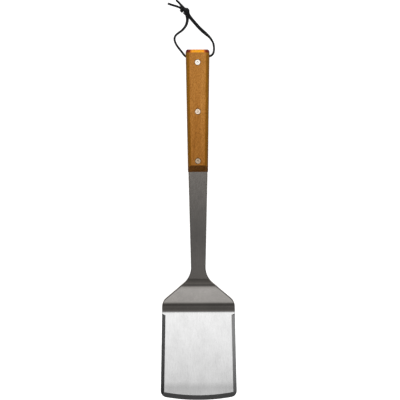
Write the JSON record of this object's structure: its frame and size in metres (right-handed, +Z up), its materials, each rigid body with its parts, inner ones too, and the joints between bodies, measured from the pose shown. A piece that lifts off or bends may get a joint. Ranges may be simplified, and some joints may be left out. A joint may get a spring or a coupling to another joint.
{
  "type": "grill turner",
  "caption": "Offset grill turner: bent steel plate with bevelled blade edges, riveted wooden grip with butt cap and a knotted leather hanging lace.",
  "frame": {"origin": "middle of the tool's footprint as it rests on a table on the heel of its blade and its butt cap, without the lace, at the table's surface", "axes": "+Y from the blade towards the butt, +X to the right seen from above with the butt at the top, +Z up"},
  "size_m": [0.0998, 0.5247, 0.0258],
  "materials": {
    "steel": "lengthwise brushed, ground edge bevels",
    "wood": "oiled, straight grain, darker end grain",
    "cap": "glossy amber orange",
    "rivet": "satin, turned",
    "lace": "black dyed leather lace"
  },
  "bodies": {
    "tool": {"turner_plate": "steel", "wood_grip": "wood", "butt_cap": "cap", "rivet_post_1": "rivet", "rivet_post_2": "rivet", "rivet_post_3": "rivet", "rivet_cap_1": "rivet", "rivet_cap_2": "rivet", "rivet_cap_3": "rivet"},
    "lace": {"lace_left": "lace", "lace_right": "lace", "lace_knot": "lace"}
  },
  "joints": [
    {"name": "lace_swing", "type": "hinge", "parent": "tool", "child": "lace", "pos_m": [0, 0.22062, 0.00923], "axis": [1, 0, 0], "range_deg": [-135, 150]}
  ]
}
